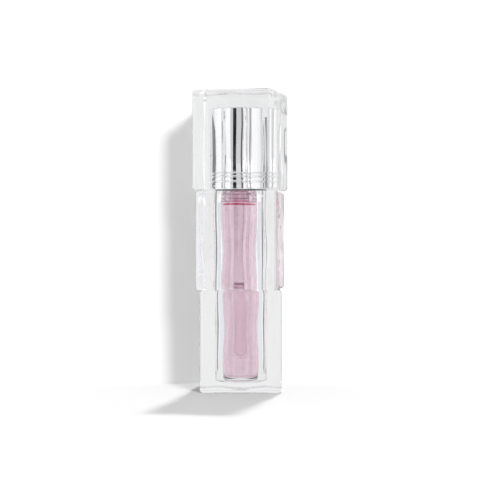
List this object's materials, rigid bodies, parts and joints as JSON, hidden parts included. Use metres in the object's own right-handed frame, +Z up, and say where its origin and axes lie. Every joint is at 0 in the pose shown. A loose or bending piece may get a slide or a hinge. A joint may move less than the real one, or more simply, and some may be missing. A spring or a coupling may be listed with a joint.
{
  "type": "lip gloss tube",
  "caption": "Clear square lip gloss tube in twisted tiers, with an inner vial of pink gloss and a screw cap that lifts off with its wand.",
  "frame": {"origin": "centre of the bottle's base, on the face it stands on", "axes": "+Z up along the bottle, vial, wand and cap axis; -Y is the front face of the lowest tier"},
  "size_m": [0.0256, 0.0256, 0.08],
  "materials": {
    "clear_bottle": "clear polished acrylic",
    "clear_vial": "clear moulded",
    "wiper": "natural polyethylene",
    "gloss": "sheer pink with fine shimmer",
    "gloss_film": "wet pink",
    "clear_cap": "clear polished acrylic",
    "silver_sleeve": "mirror-bright silver",
    "cap_liner": "moulded",
    "wand": "moulded",
    "flocked_tip": "short flock"
  },
  "bodies": {
    "bottle": {"bottle_block": "clear_bottle", "inner_vial": "clear_vial", "wiper": "wiper"},
    "gloss": {"gloss_fill": "gloss"},
    "gloss_coat": {"gloss_film": "gloss_film"},
    "cap": {"cap_block": "clear_cap", "cap_sleeve": "silver_sleeve", "cap_liner": "cap_liner", "wand_stem": "wand", "applicator_tip": "flocked_tip"}
  },
  "joints": [
    {"name": "cap_turn", "type": "hinge", "parent": "bottle", "child": "gloss", "pos_m": [0, 0, 0.0575], "axis": [0, 0, 1], "range_deg": [0, 450]},
    {"name": "cap_lift", "type": "slide", "parent": "gloss", "child": "gloss_coat", "axis": [0, 0, 1], "range_m": [0, 0.07]},
    {"name": "thread_rise", "type": "slide", "parent": "gloss_coat", "child": "cap", "axis": [0, 0, 1], "range_m": [0, 0.003]}
  ],
  "couplings": [
    {"joint": "thread_rise", "follows": "cap_turn", "m_per_rad": 0.00038197}
  ]
}
